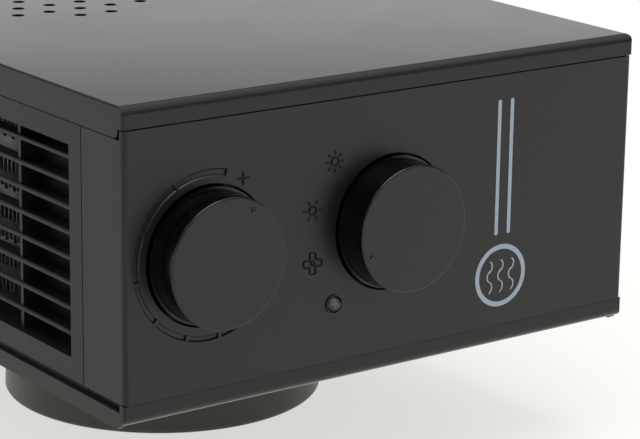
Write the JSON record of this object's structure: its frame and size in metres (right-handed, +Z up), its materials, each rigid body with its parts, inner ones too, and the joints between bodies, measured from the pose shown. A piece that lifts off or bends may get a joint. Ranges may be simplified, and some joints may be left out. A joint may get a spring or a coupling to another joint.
{
  "type": "fan heater",
  "caption": "Flat black tabletop fan heater with a side control panel, round knobs, an outlet grille and a round swivel foot.",
  "frame": {"origin": "centre of the foot's rubber pad on the table", "axes": "+Z up, -Y the way the warm air leaves, +X the way the control panel faces"},
  "size_m": [0.2605, 0.1862, 0.131],
  "materials": {
    "shell_black": "satin moulded ABS",
    "panel_black": "finely textured ABS",
    "knob_black": "finely textured ABS",
    "grille_black": "heat-resistant matt plastic",
    "inner_plastic": "matt glass-filled plastic",
    "rubber": "matt rubber",
    "glide_plastic": "acetal",
    "screw_steel": "zinc-plated",
    "bright_steel": "ground steel",
    "thermostat_metal": "plated pressed steel",
    "lamp_lens": "diffuse lens, unlit",
    "board_green": "solder mask",
    "bronze": "sintered bronze",
    "core_iron": "laminated iron",
    "copper_wire": "enamelled copper wire",
    "bare_aluminium": "bare aluminium",
    "pale_ceramic": "pale moulded insulator"
  },
  "bodies": {
    "foot": {"foot_shell": "shell_black", "foot_plate": "inner_plastic", "rubber_pad": "rubber", "foot_screws": "screw_steel", "glide_ring": "glide_plastic"},
    "heater": {"bottom_tray": "shell_black", "swivel_retainer": "screw_steel", "swivel_screws": "screw_steel", "top_cover": "shell_black", "housing_screws": "screw_steel", "control_panel": "panel_black", "side_panel": "panel_black", "outlet_grille": "grille_black", "intake_grille": "panel_black", "cord_grommet": "rubber", "thermostat_body": "thermostat_metal", "rotary_switch": "inner_plastic", "control_nuts": "screw_steel", "indicator_lamp": "lamp_lens", "lamp_board": "board_green", "duct_plate_left": "inner_plastic", "duct_plate_right": "inner_plastic", "duct_screws": "screw_steel", "fan_scroll": "inner_plastic", "air_tongue": "inner_plastic", "end_bearing": "bronze", "bearing_ring": "rubber", "motor_core": "core_iron", "motor_coil": "copper_wire", "motor_brackets": "bright_steel", "motor_bolts": "screw_steel", "heating_tubes": "bare_aluminium", "heating_fins": "bare_aluminium", "element_caps": "inner_plastic", "thermal_cutout": "pale_ceramic", "terminal_block": "pale_ceramic"},
    "thermostat_dial": {"thermostat_knob": "knob_black", "thermostat_spindle": "bright_steel"},
    "mode_dial": {"mode_knob": "knob_black", "switch_spindle": "bright_steel"},
    "fan": {"fan_rotor": "inner_plastic", "end_pin": "bright_steel", "motor_rotor": "core_iron", "motor_shaft": "bright_steel"}
  },
  "joints": [
    {"name": "swivel", "type": "hinge", "parent": "foot", "child": "heater", "pos_m": [0, 0, 0.04], "axis": [0, 0, 1], "range_deg": [-45, 45]},
    {"name": "thermostat_turn", "type": "hinge", "parent": "heater", "child": "thermostat_dial", "pos_m": [0.125, -0.0643, 0.0855], "axis": [1, 0, 0], "range_deg": [0, 252]},
    {"name": "mode_turn", "type": "hinge", "parent": "heater", "child": "mode_dial", "pos_m": [0.125, 0, 0.0855], "axis": [1, 0, 0], "range_deg": [-64.5, 26]},
    {"name": "fan_spin", "type": "hinge", "parent": "heater", "child": "fan", "pos_m": [0, -0.02435, 0.0835], "axis": [1, 0, 0], "continuous": true}
  ]
}
